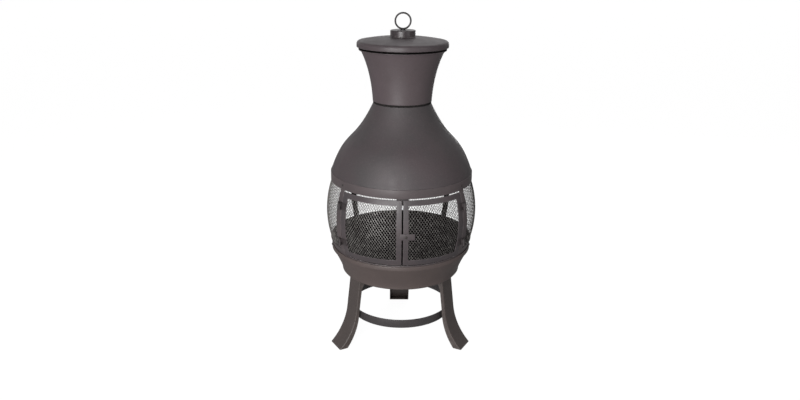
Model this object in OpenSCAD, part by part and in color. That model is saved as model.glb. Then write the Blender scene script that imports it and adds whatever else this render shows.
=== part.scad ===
// Steel chiminea: a rain lid over a flared flue, a bell hood, a mesh firebox with two
// doors, a fire bowl, and three channel legs tied by a foot ring.
// Millimetres. +Z is up, the front with the doors faces -Y, and the origin lies on the
// floor under the flue. An azimuth of 0 faces the front and grows towards +X.

/* [Lid] */
// Radius of the lid's rolled rim
lid_r = 146.3; // [145:0.1:150]
// Height of the rim's lower edge above the floor
lid_z = 1000; // [999:0.5:1004]
// Height of the rolled rim
lid_rim_h = 18; // [14:0.5:22]
// Rise of the dished top from the rim to the knob
lid_rise = 13; // [8:0.5:18]
// Radius of the drum knob
drum_r = 40; // [32:0.5:44]
// Height of the drum knob
drum_h = 21; // [16:0.5:26]
// Outer diameter of the wire ring
ring_d = 54; // [44:1:60]
// Wire diameter of the ring
ring_wire_d = 5.5; // [4:0.5:7]

/* [Flue collar] */
// Height of the collar's lower edge, where it laps the neck
collar_z0 = 830; // [829:0.5:832]
// Height of the collar's top edge
collar_z1 = 993; // [990:0.5:994]
// Outer radius at the collar's lower edge
collar_r0 = 95.5; // [95:0.1:97]
// Outer radius at the collar's top edge
collar_r1 = 135.5; // [132:0.5:137]
// Wire radius of the bead rolled into the collar's top edge
collar_bead_r = 3.4; // [2.5:0.1:4]

/* [Hood] */
// Outer radius of the bell hood at its foot
hood_r0 = 233.6; // [232:0.1:234.2]
// Height of the foot of the bell
hood_z0 = 598; // [597:0.5:600]
// Outer radius of the neck
neck_r = 92.2; // [90:0.1:92.5]
// Height where the bell runs into the neck
neck_z = 826; // [822:0.5:828]
// Length of neck hidden inside the collar
neck_lap = 34; // [20:1:50]

/* [Firebox] */
// Greatest radius of the bulged mesh
bulge_r = 251.6; // [249:0.1:253]
// Height of the widest point of the bulge
bulge_z = 461; // [459:0.5:463]
// Radius of the arc that the bulge follows from bottom to top
bulge_arc_r = 316; // [312:1:320]
// Outer radius of the upper ring
upper_ring_r = 235; // [235:0.1:236]
// Height of the upper ring band
upper_ring_h = 28; // [24:0.5:30]
// Top of the lower ring band
lower_ring_top = 367; // [362:0.5:372]
// Thickness of the bands, posts and door frames
band_t = 2.5; // [2:0.1:2.6]
// Thickness of the expanded mesh
mesh_t = 1.5; // [1:0.1:1.6]
// Azimuth of the rear posts
rear_post_az = 138; // [130:1:142]
// Width of a post as an angle
post_angle = 5.3; // [4:0.1:7]

/* [Doors] */
// Azimuth of the gap between each door and its post
hinge_az = 50.4; // [46:0.1:54]
// Lower edge of the doors
door_z0 = 349; // [348.5:0.5:352]
// Upper edge of the doors
door_z1 = 566; // [562:0.5:567]
// Gap between the two meeting stiles
door_gap = 4.6; // [3:0.1:6]
// Width of the meeting stiles
meeting_stile_w = 17; // [14:0.5:20]
// Width of the hinge stiles as an angle
hinge_stile_angle = 5; // [4:0.1:6]
// Height of the top rails
top_rail_h = 16.5; // [12:0.5:20]
// Height of the bottom rails
bottom_rail_h = 20.5; // [16:0.5:24]
// Distance of the two hinge pins above and below the widest point
hinge_spread = 61; // [50:1:66]
// Distance of the hinge axis from the flue axis
hinge_r = 258.5; // [258:0.1:260]
// Height of the turn button
latch_z = 453.5; // [440:0.5:470]
// Length of the turn button
latch_len = 47; // [42:1:52]
// Width of the turn button
latch_w = 20; // [16:0.5:22]

/* [Fire bowl] */
// Height of the bowl's flat bottom above the floor
bowl_z = 246; // [244:0.5:250]
// Height of the bowl's rim
bowl_rim_z = 343; // [342:0.5:344]
// Outer radius of the bowl's turned-over rim
bowl_rim_r = 235.5; // [235:0.1:237]
// Height of the turned-over rim
bowl_hem_h = 14.5; // [10:0.5:18]
// Radius of the wood grate
grate_r = 150; // [130:1:160]
// Diameter of the grate's bars
grate_bar_d = 8; // [6:0.5:10]

/* [Legs] */
// Azimuth of the two front legs
leg_az = 61; // [58:1:64]
// Width of the leg channel
leg_w = 72; // [60:1:80]
// Radius where the outer face of a leg meets the floor
leg_foot_r = 255; // [250:0.5:262]
// Radius of the outer face where the straight shank meets the bend
leg_knee_r = 192; // [188:0.5:196]
// Height where the straight shank meets the bend
leg_knee_z = 125; // [115:1:135]
// Lean of the straight shank
leg_lean = 7; // [5:0.5:9]
// Depth of the channel at the shank
leg_depth_top = 12; // [10:0.5:14]
// Depth of the channel at the foot
leg_depth_foot = 21; // [18:0.5:24]
// Sheet thickness of the legs
leg_t = 2.5; // [2:0.1:3]

/* [Foot ring] */
// Outer radius of the foot ring
foot_ring_r = 175; // [172:0.5:176]
// Height of the foot ring's lower edge
foot_ring_z = 96; // [90:1:100]
// Height of the foot ring band
foot_ring_h = 29; // [24:0.5:32]

/* [Hidden] */
$fn = 96;

shell_t = 2;              // sheet of the hood, collar, bowl and lid
fit_gap = 0.1;            // air between parts that only rest together
curve_steps = 18;         // points along a free curve
arc_steps = 8;            // points along a short bend
paint = "#4a4140";
dark_paint = "#332e2e";
iron = "#2a2828";

// Fire bowl and grate
bowl_wall_r = 201;        // outer radius of the bowl's wall just above its bottom
bowl_wall_z0 = bowl_z + 6;
bowl_wall_bend_z = 270;   // height that the wall rises to before it leans out
bowl_corner_r = 9;        // bend between the bottom and the wall
hem_edge = 1.5;           // rounding on the outside of the turned-over rim
hem_inner_edge = 0.5;
grate_z = 272;            // height of the middle of the grate's hoop and bars
grate_pitch = 34;
grate_foot_y = 96;        // cross bars that carry the grate's feet
grate_sides = 24;

// Hood and flue collar
hood_foot_pull = [187, 732];   // the bell's curve leaves its foot towards this point
hood_neck_pull = [160, 682];   // and comes into the neck from this one
collar_pull = [101.5, 927];    // the collar's flare leaves its foot towards this point
collar_slack = 0.6;            // the collar's lower edge opens inwards by this much
gasket_r = 94.6;
gasket_drop = 6.8;

// Firebox
lower_ring_z0 = 345;
skirt_r = bowl_rim_r - 2 * shell_t - 0.3;   // skirt of the lower ring, inside the bowl
skirt_drop = 14;          // the skirt stops on the step under the bowl's rim
skirt_top = 346;
ring_edge = 0.8;          // rounding on the upper ring's outer edges
mesh_gap = 0.15;          // air between the mesh and the bands that clamp it
mesh_wall_r = upper_ring_r - band_t - 0.4;  // mesh where it lies inside the upper ring
mesh_z0 = 350;
mesh_z1 = 592;
hood_skirt_r = 230.4;
hood_skirt_z = 575;
upper_ring_z0 = hood_z0 - upper_ring_h;
post_z0 = lower_ring_top + 0.2;
post_z1 = upper_ring_z0 - 0.2;
post_gap_angle = 0.2;     // half the gap between a door and its post
side_mesh_az0 = hinge_az + 0.8;
rear_mesh_gap = 0.5;

// Doors
door_az = hinge_az - post_gap_angle;
gap_angle = asin(door_gap / 2 / bulge_r);
stile_angle = asin(meeting_stile_w / bulge_r);
door_mesh_z0 = door_z0 + 6;
door_mesh_z1 = 560;
mesh_inset_angle = 0.6;
door_stop_angle = 4.8;    // half the width of the door stop
door_stop_z0 = 548;
knuckle_r = 4.5;
hinge_pin_r = 2.5;
hinge_clear = 0.06;
knuckle_h = 11;
knuckle_gap = 0.4;
hinge_arm_w = 4;
hinge_arm_gap = 0.3;       // air between an arm and the face of the band
strap_near = 0.4;         // a hinge strap runs from this angle off the hinge axis
strap_far = 4.6;          // to this one
strap_t = 2.5;
strap_h = 22;
pin_head_h = 3;
latch_az = gap_angle + stile_angle / 2;
latch_r = bulge_r + band_t + 0.9;           // inner face of the turn button
latch_t = 2.5;
latch_tail = 19;          // reach of the turn button over the left stile
latch_corner_r = 3;
stud_r = 2.5;
stud_foot_r = 5;

// Screws
screw_r = 2;
screw_head_r = 4;
screw_head_h = 2;
screw_reach = 7;
screw_hole_r0 = 60;       // screw holes are drilled between these two radii
screw_hole_r1 = 260;
front_post_az = hinge_az + post_gap_angle + post_angle / 2;
rear_screw_az = 150;
hood_side_screw_az = 95;
bowl_side_screw_az = 85;
hood_screw_az = [
  -rear_screw_az, -hood_side_screw_az, -front_post_az,
  front_post_az, hood_side_screw_az, rear_screw_az
];
hood_screw_z = 584;
collar_screw_az = [-115, 115, 180];
collar_screw_z = 846;
collar_screw_seat = 97.2;  // just clear of the flared sheet there
bowl_screw_az = [-rear_screw_az, -bowl_side_screw_az, bowl_side_screw_az, rear_screw_az];
bowl_screw_z = 335;

// Legs
leg_azimuths = [-leg_az, leg_az, 180];
leg_arc_c = bend_centre();
leg_foot_angle = asin(leg_arc_c[1] / leg_arc_r());
leg_tab_r = 118;
leg_tab_depth = 8;
leg_corner_r = 12;
leg_corner_steps = 6;
leg_wedge_z = 196;        // the side walls widen from here up to the tab
leg_wedge_pull = 5;
leg_wedge_reach = 38;
leg_slab = 400;           // space cleared under the floor
leg_bolt_r = 146;
leg_bolt_offset = 20;
bolt_r = 3;
bolt_clear = 0.2;
bolt_head_r = 6;
bolt_head_h = 3.5;
nut_r = 5.8;
nut_h = 5;
leg_bolt_l = 14;
ring_bolt_z = foot_ring_z + foot_ring_h / 2;
weld_nut_r = leg_knee_r - 2.2;              // nuts welded behind the face of each leg
foot_ring_t = 3;
spacer_r = 6;

// Lid
lid_roll = 6;             // bend between the lid's top and its rim
lid_curve = 1.6;          // how the lid's top falls away: 1 is a cone
lid_foot_l = 24;
lid_foot_w = 22;
lid_foot_t = 2;
lid_foot_slack = 0.8;     // air between the risers and the lid
lid_foot_drop = 24;       // reach of the strips into the collar
lid_locate_r = 117;
lid_riser_r = 127;
washer_t = 1.6;
washer_r = 9;

// ---------- curves ----------

function bezier2(a, b, c, n = curve_steps) = [
  for (i = [0:n]) let (t = i / n)
    (1 - t) * (1 - t) * a + 2 * t * (1 - t) * b + t * t * c
];

function bezier3(a, b, c, d, n = curve_steps) = [
  for (i = [0:n]) let (t = i / n, s = 1 - t)
    s * s * s * a + 3 * t * s * s * b + 3 * t * t * s * c + t * t * t * d
];

function arc(centre, r, a0, a1, n = arc_steps) = [
  for (i = [0:n]) let (a = a0 + (a1 - a0) * i / n)
    centre + r * [cos(a), sin(a)]
];

function reversed(list) = [for (i = [len(list) - 1:-1:0]) list[i]];

function shifted(list, dr) = [for (p = list) p + [dr, 0]];

// Outer radius of the mesh at height z
function mesh_r(z) = bulge_r - bulge_arc_r + sqrt(pow(bulge_arc_r, 2) - pow(z - bulge_z, 2));

// Outline of a band that follows the bulge from z0 to z1, between two radial offsets
function bulge_band(z0, z1, d0, d1, n = 12) = concat(
  [for (i = [0:n]) let (z = z0 + (z1 - z0) * i / n) [mesh_r(z) + d1, z]],
  [for (i = [n:-1:0]) let (z = z0 + (z1 - z0) * i / n) [mesh_r(z) + d0, z]]
);

// Outline of the fixed mesh: bulged, then upright inside the upper ring
function fixed_mesh_outline(n = 12) = let (
  turn = upper_ring_z0 - 1,
  outer = concat(
    [for (i = [0:n]) let (z = mesh_z0 + (turn - mesh_z0) * i / n) [mesh_r(z) - mesh_gap, z]],
    [[mesh_wall_r, upper_ring_z0 + 2], [mesh_wall_r, mesh_z1]]
  )
) concat(outer, reversed(shifted(outer, -mesh_t)));

// The bend of a leg: its radius and its centre follow from the knee, lean and foot
function leg_chord() = norm([leg_foot_r - leg_knee_r, leg_knee_z]);
function leg_turn() = 2 * (atan2(leg_foot_r - leg_knee_r, leg_knee_z) - leg_lean);
function leg_arc_r() = leg_chord() / 2 / sin(leg_turn() / 2);
function bend_centre() = [leg_knee_r, leg_knee_z] + leg_arc_r() * [cos(leg_lean), sin(leg_lean)];

// Radius of the outer leg face, moved inwards by d, at height z on the straight shank
function shank_r(z, d) = leg_knee_r - d / cos(leg_lean) - (z - leg_knee_z) * tan(leg_lean);

// Points of the bend from the knee to the foot, moved inwards from the outer face by d0
// at the knee, growing to d1 at the foot
function leg_bend(d0, d1, overrun = 4, n = 14) = [
  for (i = [0:n]) let (
    t = i / n,
    a = leg_lean + (leg_foot_angle + overrun - leg_lean) * t,
    r = leg_arc_r() + d0 + (d1 - d0) * t
  ) leg_arc_c - r * [cos(a), sin(a)]
];

// ---------- placing ----------

// Turns a piece built along +X so that it points along an azimuth
module towards(az) {
  rotate([0, 0, az - 90]) children();
}

// Sweeps an outline from azimuth az0 to az1
module swept(az0, az1, outline) {
  rotate([0, 0, az0 - 90])
    rotate_extrude(angle = az1 - az0)
      polygon(outline);
}

module turned(outline) {
  rotate_extrude() polygon(outline);
}

// A tube or pin along +X from x0 to x1
module x_cylinder(x0, x1, r, sides = $fn) {
  translate([x0, 0, 0]) rotate([0, 90, 0]) cylinder(h = x1 - x0, r = r, $fn = sides);
}

// ---------- fire bowl and grate ----------

module fire_bowl() {
  wall_top = [bowl_rim_r - 1.5 * shell_t, bowl_rim_z - bowl_hem_h];
  wall = bezier2([bowl_wall_r, bowl_wall_z0], [bowl_wall_r, bowl_wall_bend_z], wall_top, 12);
  corner_c = [bowl_wall_r - bowl_corner_r, bowl_z + bowl_corner_r];
  corner = arc(corner_c, bowl_corner_r, -90, -20);
  hem = [
    [bowl_rim_r, bowl_rim_z - bowl_hem_h],
    [bowl_rim_r, bowl_rim_z - hem_edge],
    [bowl_rim_r - hem_edge, bowl_rim_z],
    [bowl_rim_r - 2 * shell_t + hem_inner_edge, bowl_rim_z],
    [bowl_rim_r - 2 * shell_t, bowl_rim_z - hem_inner_edge]
  ];
  inner_wall = reversed(shifted(wall, -shell_t));
  inner_corner = arc(corner_c, bowl_corner_r - shell_t, -20, -90);
  color(paint)
    difference() {
      turned(concat([[0, bowl_z]], corner, wall, hem, [[bowl_rim_r - 2 * shell_t, bowl_rim_z - bowl_hem_h]],
                    inner_wall, inner_corner, [[0, bowl_z + shell_t]]));
      leg_bolt_holes();
      screw_holes(bowl_screw_az, bowl_screw_z);
    }
}

module fire_grate() {
  hoop_r = grate_bar_d / 2;
  bar_r = hoop_r - 0.4;
  foot_r = hoop_r - 0.6;
  tie_r = hoop_r - 0.8;
  color(iron)
    union() {
      translate([0, 0, grate_z])
        rotate_extrude() translate([grate_r, 0]) circle(r = hoop_r, $fn = grate_sides);
      for (i = [-4:4]) {
        half = sqrt(pow(grate_r, 2) - pow(i * grate_pitch, 2));
        translate([i * grate_pitch, -half, grate_z])
          rotate([-90, 0, 0]) cylinder(h = 2 * half, r = bar_r, $fn = grate_sides);
      }
      for (side = [-1, 1]) {
        half = sqrt(pow(grate_r, 2) - pow(grate_foot_y, 2));
        translate([0, side * grate_foot_y, grate_z]) x_cylinder(-half, half, tie_r, grate_sides);
        for (foot = [-1, 1]) {
          translate([foot * 2 * grate_pitch, side * grate_foot_y, bowl_z + shell_t])
            cylinder(h = grate_z - bowl_z - shell_t, r = foot_r, $fn = grate_sides);
        }
      }
    }
}

// ---------- firebox frame ----------

module lower_ring() {
  skirt = [
    [skirt_r - band_t, bowl_rim_z - skirt_drop],
    [skirt_r, bowl_rim_z - skirt_drop],
    [skirt_r, skirt_top],
    [skirt_r - band_t, skirt_top]
  ];
  color(paint)
    difference() {
      union() {
        turned(skirt);
        swept(hinge_az + post_gap_angle, 360 - hinge_az - post_gap_angle,
              bulge_band(lower_ring_z0, lower_ring_top, 0, band_t, 4));
      }
      screw_holes(bowl_screw_az, bowl_screw_z);
    }
}

module upper_ring() {
  color(paint)
    difference() {
      turned([
        [upper_ring_r - band_t, upper_ring_z0],
        [upper_ring_r - ring_edge, upper_ring_z0],
        [upper_ring_r, upper_ring_z0 + ring_edge],
        [upper_ring_r, hood_z0 - ring_edge],
        [upper_ring_r - ring_edge, hood_z0],
        [upper_ring_r - band_t, hood_z0]
      ]);
      screw_holes(hood_screw_az, hood_screw_z);
    }
}

// A post stands on the lower ring band and reaches up to the upper ring
module post(az0) {
  swept(az0, az0 + post_angle, bulge_band(post_z0, post_z1, 0, band_t));
}

module front_post_right() {
  color(paint) post(hinge_az + post_gap_angle);
}

module front_post_left() {
  color(paint) mirror([1, 0, 0]) post(hinge_az + post_gap_angle);
}

module rear_post_right() {
  color(paint) post(rear_post_az - post_angle / 2);
}

module rear_post_left() {
  color(paint) mirror([1, 0, 0]) post(rear_post_az - post_angle / 2);
}

module fixed_mesh(az0, az1) {
  color(dark_paint)
    difference() {
      swept(az0, az1, fixed_mesh_outline());
      screw_holes(hood_screw_az, hood_screw_z);
    }
}

module side_mesh_right() {
  fixed_mesh(side_mesh_az0, rear_post_az - rear_mesh_gap);
}

module side_mesh_left() {
  fixed_mesh(360 - rear_post_az + rear_mesh_gap, 360 - side_mesh_az0);
}

module rear_mesh() {
  fixed_mesh(rear_post_az + rear_mesh_gap, 360 - rear_post_az - rear_mesh_gap);
}

// Tab behind the meeting stiles, which stops the doors as they close
module door_stop() {
  color(paint)
    swept(-door_stop_angle, door_stop_angle, [
      [hood_skirt_r + 0.2, door_stop_z0],
      [mesh_wall_r, door_stop_z0],
      [mesh_wall_r, mesh_z1],
      [hood_skirt_r + 0.2, mesh_z1]
    ]);
}

// ---------- hood, flue collar and their screws ----------

module hood() {
  foot_z = hood_z0 + fit_gap;
  bell = bezier3([hood_r0, foot_z], hood_foot_pull, hood_neck_pull, [neck_r, neck_z]);
  outer = concat(
    [[hood_skirt_r, hood_skirt_z], [hood_skirt_r, foot_z]],
    bell,
    [[neck_r, neck_z + neck_lap]]
  );
  inner = concat(
    [[hood_skirt_r - shell_t, hood_skirt_z], [hood_skirt_r - shell_t, foot_z + shell_t]],
    shifted([for (p = bell) if (p[1] > foot_z + 3 * shell_t) p], -shell_t),
    [[neck_r - shell_t, neck_z + neck_lap]]
  );
  color(paint)
    difference() {
      turned(concat(outer, reversed(inner)));
      screw_holes(hood_screw_az, hood_screw_z);
      screw_holes(collar_screw_az, collar_screw_z);
    }
}

module flue_collar() {
  flare = bezier2([collar_r0, collar_z0], collar_pull, [collar_r1, collar_z1]);
  bead_c = [collar_r1 + collar_bead_r - shell_t, collar_z1];
  bead = arc(bead_c, collar_bead_r, -120, 180, 10);
  color(paint)
    difference() {
      turned(concat([[collar_r0 - shell_t - collar_slack, collar_z0]], flare, bead,
                    reversed(shifted(flare, -shell_t))));
      screw_holes(collar_screw_az, collar_screw_z);
    }
}

// Black fibre seal on the neck, under the collar's lower edge
module flue_gasket() {
  top = collar_z0 - fit_gap;
  color(iron)
    turned([
      [neck_r + fit_gap, neck_z + 1],
      [gasket_r, top - gasket_drop],
      [gasket_r, top],
      [neck_r + fit_gap, top]
    ]);
}

// Clearance holes for radial screws at the given azimuths
module screw_holes(azimuths, z) {
  for (az = azimuths) {
    towards(az) translate([0, 0, z])
      x_cylinder(screw_hole_r0, screw_hole_r1, screw_r + fit_gap, 24);
  }
}

// Low domed screws that point at the axis, their heads seated at radius seat_r
module screws(azimuths, z, seat_r) {
  color(dark_paint)
    for (az = azimuths) {
      towards(az) translate([seat_r, 0, z]) rotate([0, 90, 0])
        rotate_extrude()
          polygon(concat(
            [[0, -screw_reach], [screw_r, -screw_reach], [screw_r, 0], [screw_head_r, 0]],
            bezier2([screw_head_r, 0.4], [screw_head_r - 0.6, screw_head_h], [0, screw_head_h], 6)
          ));
    }
}

module hood_screws() {
  screws(hood_screw_az, hood_screw_z, upper_ring_r + fit_gap);
}

module collar_screws() {
  screws(collar_screw_az, collar_screw_z, collar_screw_seat);
}

module bowl_screws() {
  screws(bowl_screw_az, bowl_screw_z, bowl_rim_r + fit_gap);
}

// ---------- hinges ----------

// Strap and knuckle of one hinge half at height z; side is +1 on the door, -1 on the post
module hinge_half(z, side) {
  near = -side * strap_near;
  far = -side * strap_far;
  knuckle_z = side > 0 ? z : z - knuckle_h;
  knuckle_top = side > 0 ? knuckle_h : knuckle_h - knuckle_gap;
  arm_r = max(mesh_r(knuckle_z), mesh_r(knuckle_z + knuckle_h)) + band_t + hinge_arm_gap;
  difference() {
    union() {
      swept(hinge_az + min(near, far), hinge_az + max(near, far),
            bulge_band(z - strap_h / 2, z + strap_h / 2, band_t + fit_gap, band_t + strap_t, 2));
      towards(hinge_az) {
        translate([hinge_r, 0, knuckle_z]) cylinder(h = knuckle_top, r = knuckle_r, $fn = 48);
        translate([arm_r, side > 0 ? near - hinge_arm_w : near, knuckle_z])
          cube([hinge_r - arm_r, hinge_arm_w, knuckle_top]);
      }
    }
    towards(hinge_az) translate([hinge_r, 0, z - strap_h])
      cylinder(h = 2 * strap_h, r = hinge_pin_r + (side > 0 ? hinge_clear : 0), $fn = 48);
  }
}

module hinge_pin(z) {
  towards(hinge_az) translate([hinge_r, 0, z - knuckle_h])
    rotate_extrude()
      polygon([
        [0, 0],
        [hinge_pin_r, 0],
        [hinge_pin_r, 2 * knuckle_h + pin_head_h - 1],
        [hinge_pin_r - 1, 2 * knuckle_h + pin_head_h],
        [0, 2 * knuckle_h + pin_head_h]
      ]);
}

module hinge_lugs_right() {
  color(dark_paint)
    for (end = [-1, 1]) {
      hinge_half(bulge_z + end * hinge_spread, -1);
    }
}

module hinge_lugs_left() {
  mirror([1, 0, 0]) hinge_lugs_right();
}

module hinge_pins_right() {
  color(iron)
    for (end = [-1, 1]) {
      hinge_pin(bulge_z + end * hinge_spread);
    }
}

module hinge_pins_left() {
  mirror([1, 0, 0]) hinge_pins_right();
}

// ---------- doors ----------

module door_frame() {
  color(paint)
    difference() {
      swept(gap_angle, door_az, bulge_band(door_z0, door_z1, 0, band_t));
      swept(gap_angle + stile_angle, door_az - hinge_stile_angle, [
        [bulge_r / 2, door_z0 + bottom_rail_h],
        [bulge_r * 2, door_z0 + bottom_rail_h],
        [bulge_r * 2, door_z1 - top_rail_h],
        [bulge_r / 2, door_z1 - top_rail_h]
      ]);
    }
}

module door_mesh() {
  color(dark_paint)
    swept(gap_angle + mesh_inset_angle, door_az - mesh_inset_angle,
          bulge_band(door_mesh_z0, door_mesh_z1, -mesh_t - mesh_gap, -mesh_gap));
}

module door_eyes() {
  color(dark_paint)
    for (end = [-1, 1]) {
      hinge_half(bulge_z + end * hinge_spread, 1);
    }
}

module right_door_frame() {
  door_frame();
}

module left_door_frame() {
  mirror([1, 0, 0]) door_frame();
}

module right_door_mesh() {
  door_mesh();
}

module left_door_mesh() {
  mirror([1, 0, 0]) door_mesh();
}

module right_door_eyes() {
  door_eyes();
}

module left_door_eyes() {
  mirror([1, 0, 0]) door_eyes();
}

// Shouldered stud on the right meeting stile, which the turn button pivots on
module latch_stud() {
  foot = latch_r - 0.8;
  tip = latch_r + latch_t + 0.2;
  color(iron)
    towards(latch_az) translate([0, 0, latch_z]) rotate([0, 90, 0])
      rotate_extrude()
        polygon(concat(
          [
            [0, foot], [stud_foot_r, foot], [stud_foot_r, latch_r - fit_gap],
            [stud_r, latch_r - fit_gap], [stud_r, tip], [stud_foot_r, tip]
          ],
          bezier2([stud_foot_r, tip + 0.5], [stud_foot_r - 0.6, tip + 2.2], [0, tip + 2.2], 6)
        ));
}

module turn_button() {
  corner = latch_corner_r;
  color(paint)
    towards(latch_az) translate([latch_r, 0, latch_z])
      rotate([90, 0, 90])
        difference() {
          union() {
            translate([-latch_tail, -latch_w / 2 + corner, 0])
              cube([latch_len, latch_w - 2 * corner, latch_t]);
            translate([-latch_tail + corner, -latch_w / 2, 0])
              cube([latch_len - 2 * corner, latch_w, latch_t]);
            for (x = [-latch_tail + corner, latch_len - latch_tail - corner], y = [-1, 1]) {
              translate([x, y * (latch_w / 2 - corner), 0]) cylinder(h = latch_t, r = corner, $fn = 32);
            }
          }
          translate([0, 0, -1]) cylinder(h = latch_t + 2, r = stud_r + hinge_clear, $fn = 48);
        }
}

// ---------- legs ----------

// Side outline of a leg: radius against height
module leg_outline() {
  top_r = shank_r(bowl_z - leg_corner_r, 0);
  inner_top = shank_r(leg_wedge_z, leg_depth_top);
  corner_c = [top_r - leg_corner_r, bowl_z - leg_corner_r];
  polygon(concat(
    [[leg_tab_r, bowl_z - leg_tab_depth], [leg_tab_r, bowl_z]],
    reversed(arc(corner_c, leg_corner_r, leg_lean, 90, leg_corner_steps)),
    leg_bend(0, 0),
    reversed(leg_bend(leg_depth_top, leg_depth_foot)),
    bezier2([inner_top, leg_wedge_z], [inner_top - leg_wedge_pull, bowl_z - leg_tab_depth],
            [inner_top - leg_wedge_reach, bowl_z - leg_tab_depth], 10)
  ));
}

// Space inside the channel, open on its inner side and under its top tab
module leg_hollow() {
  corner_c = [shank_r(bowl_z - leg_corner_r, 0) - leg_corner_r, bowl_z - leg_corner_r];
  beyond = 40;
  polygon(concat(
    [[leg_tab_r - 1, bowl_z - beyond], [leg_tab_r - 1, bowl_z - leg_t]],
    reversed(arc(corner_c, leg_corner_r - leg_t, leg_lean, 90, leg_corner_steps)),
    leg_bend(leg_t, leg_t),
    reversed(leg_bend(beyond, beyond))
  ));
}

module leg(az) {
  color(paint)
    towards(az)
      difference() {
        rotate([90, 0, 0])
          linear_extrude(leg_w, center = true) leg_outline();
        difference() {
          rotate([90, 0, 0])
            linear_extrude(leg_w - 2 * leg_t, center = true) leg_hollow();
          translate([0, -leg_slab / 2, -leg_slab]) cube([leg_slab, leg_slab, leg_slab + leg_t]);
        }
        translate([0, -leg_slab / 2, -leg_slab]) cube([leg_slab, leg_slab, leg_slab]);
        for (side = [-1, 1]) {
          translate([leg_bolt_r, side * leg_bolt_offset, bowl_z - 2 * leg_bolt_l])
            cylinder(h = 3 * leg_bolt_l, r = bolt_r + bolt_clear, $fn = 32);
        }
      }
}

module leg_left() {
  leg(-leg_az);
}

module leg_right() {
  leg(leg_az);
}

module leg_rear() {
  leg(180);
}

// Holes through the bowl for the bolts that hold the legs
module leg_bolt_holes() {
  for (az = leg_azimuths, side = [-1, 1]) {
    towards(az) translate([leg_bolt_r, side * leg_bolt_offset, bowl_z - 5])
      cylinder(h = 10, r = bolt_r + bolt_clear, $fn = 32);
  }
}

// Domed bolt along +Z: head above z = 0, shank down to -length
module domed_bolt(length) {
  rotate_extrude()
    polygon(concat(
      [[0, -length], [bolt_r - 0.6, -length], [bolt_r, -length + 0.6], [bolt_r, 0], [bolt_head_r, 0]],
      bezier2([bolt_head_r, 0.6], [bolt_head_r - 0.8, bolt_head_h], [0, bolt_head_h], 6)
    ));
}

// Hexagonal nut along +Z from z = 0
module hex_nut() {
  difference() {
    cylinder(h = nut_h, r = nut_r, $fn = 6);
    translate([0, 0, -1]) cylinder(h = nut_h + 2, r = bolt_r + 0.05, $fn = 32);
  }
}

module leg_bolts() {
  color(iron)
    for (az = leg_azimuths, side = [-1, 1]) {
      towards(az) translate([leg_bolt_r, side * leg_bolt_offset, bowl_z + shell_t])
        domed_bolt(leg_bolt_l);
    }
}

module leg_nuts() {
  color(iron)
    for (az = leg_azimuths, side = [-1, 1]) {
      towards(az) translate([leg_bolt_r, side * leg_bolt_offset, bowl_z - leg_t - nut_h]) hex_nut();
    }
}

// ---------- foot ring ----------

module foot_ring() {
  color(paint)
    difference() {
      turned([
        [foot_ring_r - foot_ring_t, foot_ring_z],
        [foot_ring_r, foot_ring_z],
        [foot_ring_r, foot_ring_z + foot_ring_h],
        [foot_ring_r - foot_ring_t, foot_ring_z + foot_ring_h]
      ]);
      for (az = leg_azimuths) {
        towards(az) translate([0, 0, ring_bolt_z])
          x_cylinder(foot_ring_r - 2 * foot_ring_t, foot_ring_r + foot_ring_t, bolt_r + bolt_clear, 32);
      }
    }
}

// The ring's bolts go in from its inner side and end short of the face of each leg
module foot_ring_bolts() {
  seat_r = foot_ring_r - foot_ring_t - fit_gap;
  color(iron)
    for (az = leg_azimuths) {
      towards(az) translate([seat_r, 0, ring_bolt_z]) rotate([0, -90, 0])
        domed_bolt(weld_nut_r - 0.5 - seat_r);
    }
}

module foot_ring_nuts() {
  color(iron)
    for (az = leg_azimuths) {
      towards(az) translate([weld_nut_r - nut_h, 0, ring_bolt_z]) rotate([0, 90, 0])
        hex_nut();
    }
}

module foot_ring_spacers() {
  color(paint)
    for (az = leg_azimuths) {
      towards(az) translate([0, 0, ring_bolt_z])
        difference() {
          x_cylinder(foot_ring_r + fit_gap, weld_nut_r - nut_h - fit_gap, spacer_r, 48);
          x_cylinder(foot_ring_r - foot_ring_t, weld_nut_r, bolt_r + bolt_clear, 32);
        }
    }
}

// ---------- lid ----------

// Height of the lid's top at radius r
function lid_top(r) = lid_z + lid_rim_h
  + lid_rise * (1 - pow((r - drum_r) / (lid_r - drum_r), lid_curve));

module lid_cover() {
  roll = lid_roll;
  rim_top = lid_z + lid_rim_h;
  top = [for (i = [0:10]) let (r = drum_r + (lid_r - roll - drum_r) * i / 10) [r, lid_top(r)]];
  rim = arc([lid_r - roll, lid_top(lid_r - roll) - roll], roll, 70, 0, 5);
  hem_top = top[0][1];
  color(paint)
    difference() {
      turned(concat(
        [[0, hem_top]], top, rim,
        [[lid_r, lid_z + 0.6], [lid_r - 0.6, lid_z], [lid_r - shell_t, lid_z]],
        [[lid_r - shell_t, rim_top - roll - 1]],
        reversed([for (p = top) [p[0] - 0.6, p[1] - shell_t]]),
        [[0, hem_top - shell_t]]
      ));
      translate([0, 0, lid_z]) cylinder(h = 2 * lid_rim_h, r = bolt_r + bolt_clear, $fn = 32);
    }
}

module lid_drum() {
  base = lid_top(drum_r) + fit_gap;
  top = base + drum_h;
  roll = 2.5;
  color(paint)
    difference() {
      turned(concat(
        [[drum_r, base]],
        arc([drum_r - roll, top - roll], roll, 0, 90, 5),
        [
          [0, top], [0, top - shell_t],
          [drum_r - shell_t - 0.8, top - shell_t], [drum_r - shell_t, top - shell_t - 0.8]
        ],
        [[drum_r - shell_t, base]]
      ));
      translate([0, 0, base]) cylinder(h = 2 * drum_h, r = bolt_r + bolt_clear, $fn = 32);
    }
}

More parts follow.
